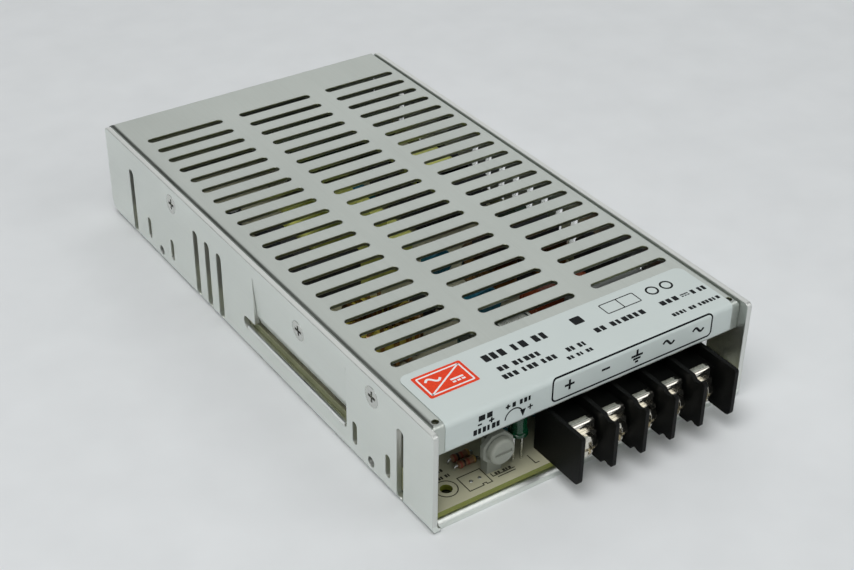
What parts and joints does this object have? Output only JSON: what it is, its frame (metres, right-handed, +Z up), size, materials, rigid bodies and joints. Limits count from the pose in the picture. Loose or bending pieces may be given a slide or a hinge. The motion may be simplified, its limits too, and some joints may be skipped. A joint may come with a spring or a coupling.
{
  "type": "enclosed switching power supply",
  "caption": "Low-profile mains power supply in a bent aluminium case with a slotted cover, a screw terminal block, an output trimmer and an indicator lamp.",
  "frame": {"origin": "centre of the chassis underside, halfway along and across its two long walls", "axes": "+Z up from the underside, -Y towards the terminals, +X to the right seen from the terminals"},
  "size_m": [0.099, 0.19, 0.0302],
  "materials": {
    "chassis_sheet": "satin rolled sheet",
    "cover_sheet": "satin rolled sheet",
    "label": "printed film",
    "zinc": "zinc plated",
    "nickel": "bright nickel plate",
    "insulator": "thin film",
    "brass": "turned",
    "board": "laminate with printed legend",
    "black_moulding": "moulded",
    "grey_moulding": "moulded",
    "lamp": "tinted clear resin",
    "brown_lacquer": "lacquered with colour bands",
    "ferrite": "ground ferrite",
    "tape": "wrapped polyester tape",
    "copper": "enamelled wire",
    "powder_core": "coated",
    "dark_sleeve": "shrink sleeve",
    "teal_sleeve": "shrink sleeve",
    "grey_case": "moulded box",
    "red_brown_dip": "dipped",
    "blue_dip": "dipped",
    "green_dip": "dipped",
    "ceramic": "glazed tube with plated caps",
    "pad": "soft pad"
  },
  "bodies": {
    "case": {"chassis": "chassis_sheet", "cover": "cover_sheet", "label_film": "label", "cover_screws": "zinc", "clamp_screw": "zinc", "clamp_bar": "zinc", "power_transistors": "dark_sleeve", "thermal_pad": "pad", "insulating_sheet": "insulator", "standoffs": "brass", "circuit_board": "board", "board_screws": "zinc", "terminal_block": "black_moulding", "terminal_plates": "nickel", "trimmer_holder": "grey_moulding", "indicator_lamp": "lamp", "axial_resistors": "brown_lacquer", "transformer_core": "ferrite", "transformer_bobbin": "black_moulding", "transformer_winding": "tape", "boost_choke_core": "ferrite", "boost_choke_bobbin": "black_moulding", "boost_choke_winding": "tape", "output_choke_core": "powder_core", "output_choke_turns": "copper", "line_choke_core": "ferrite", "line_choke_windings": "copper", "bulk_capacitor": "dark_sleeve", "output_capacitors": "teal_sleeve", "small_capacitors": "dark_sleeve", "filter_capacitor": "grey_case", "film_capacitor": "red_brown_dip", "disc_capacitors": "blue_dip", "varistor": "red_brown_dip", "thermistor": "green_dip", "fuse": "ceramic", "fuse_clips": "brass", "bridge_rectifier": "dark_sleeve", "control_chips": "dark_sleeve", "optocouplers": "dark_sleeve"},
    "trimmer": {"trimmer_cap": "grey_moulding"},
    "terminal_1": {"terminal_screw_1": "nickel", "clamp_washer_1": "nickel"},
    "terminal_2": {"terminal_screw_2": "nickel", "clamp_washer_2": "nickel"},
    "terminal_3": {"terminal_screw_3": "nickel", "clamp_washer_3": "nickel"},
    "terminal_4": {"terminal_screw_4": "nickel", "clamp_washer_4": "nickel"},
    "terminal_5": {"terminal_screw_5": "nickel", "clamp_washer_5": "nickel"}
  },
  "joints": [
    {"name": "trimmer_turn", "type": "hinge", "parent": "case", "child": "trimmer", "pos_m": [-0.0272, -0.0848, 0.0138], "axis": [0, -1, 0], "range_deg": [-130, 130]},
    {"name": "terminal_screw_1_travel", "type": "slide", "parent": "case", "child": "terminal_1", "axis": [0, -1, 0], "range_m": [0, 0.0035]},
    {"name": "terminal_screw_2_travel", "type": "slide", "parent": "case", "child": "terminal_2", "axis": [0, -1, 0], "range_m": [0, 0.0035]},
    {"name": "terminal_screw_3_travel", "type": "slide", "parent": "case", "child": "terminal_3", "axis": [0, -1, 0], "range_m": [0, 0.0035]},
    {"name": "terminal_screw_4_travel", "type": "slide", "parent": "case", "child": "terminal_4", "axis": [0, -1, 0], "range_m": [0, 0.0035]},
    {"name": "terminal_screw_5_travel", "type": "slide", "parent": "case", "child": "terminal_5", "axis": [0, -1, 0], "range_m": [0, 0.0035]}
  ]
}
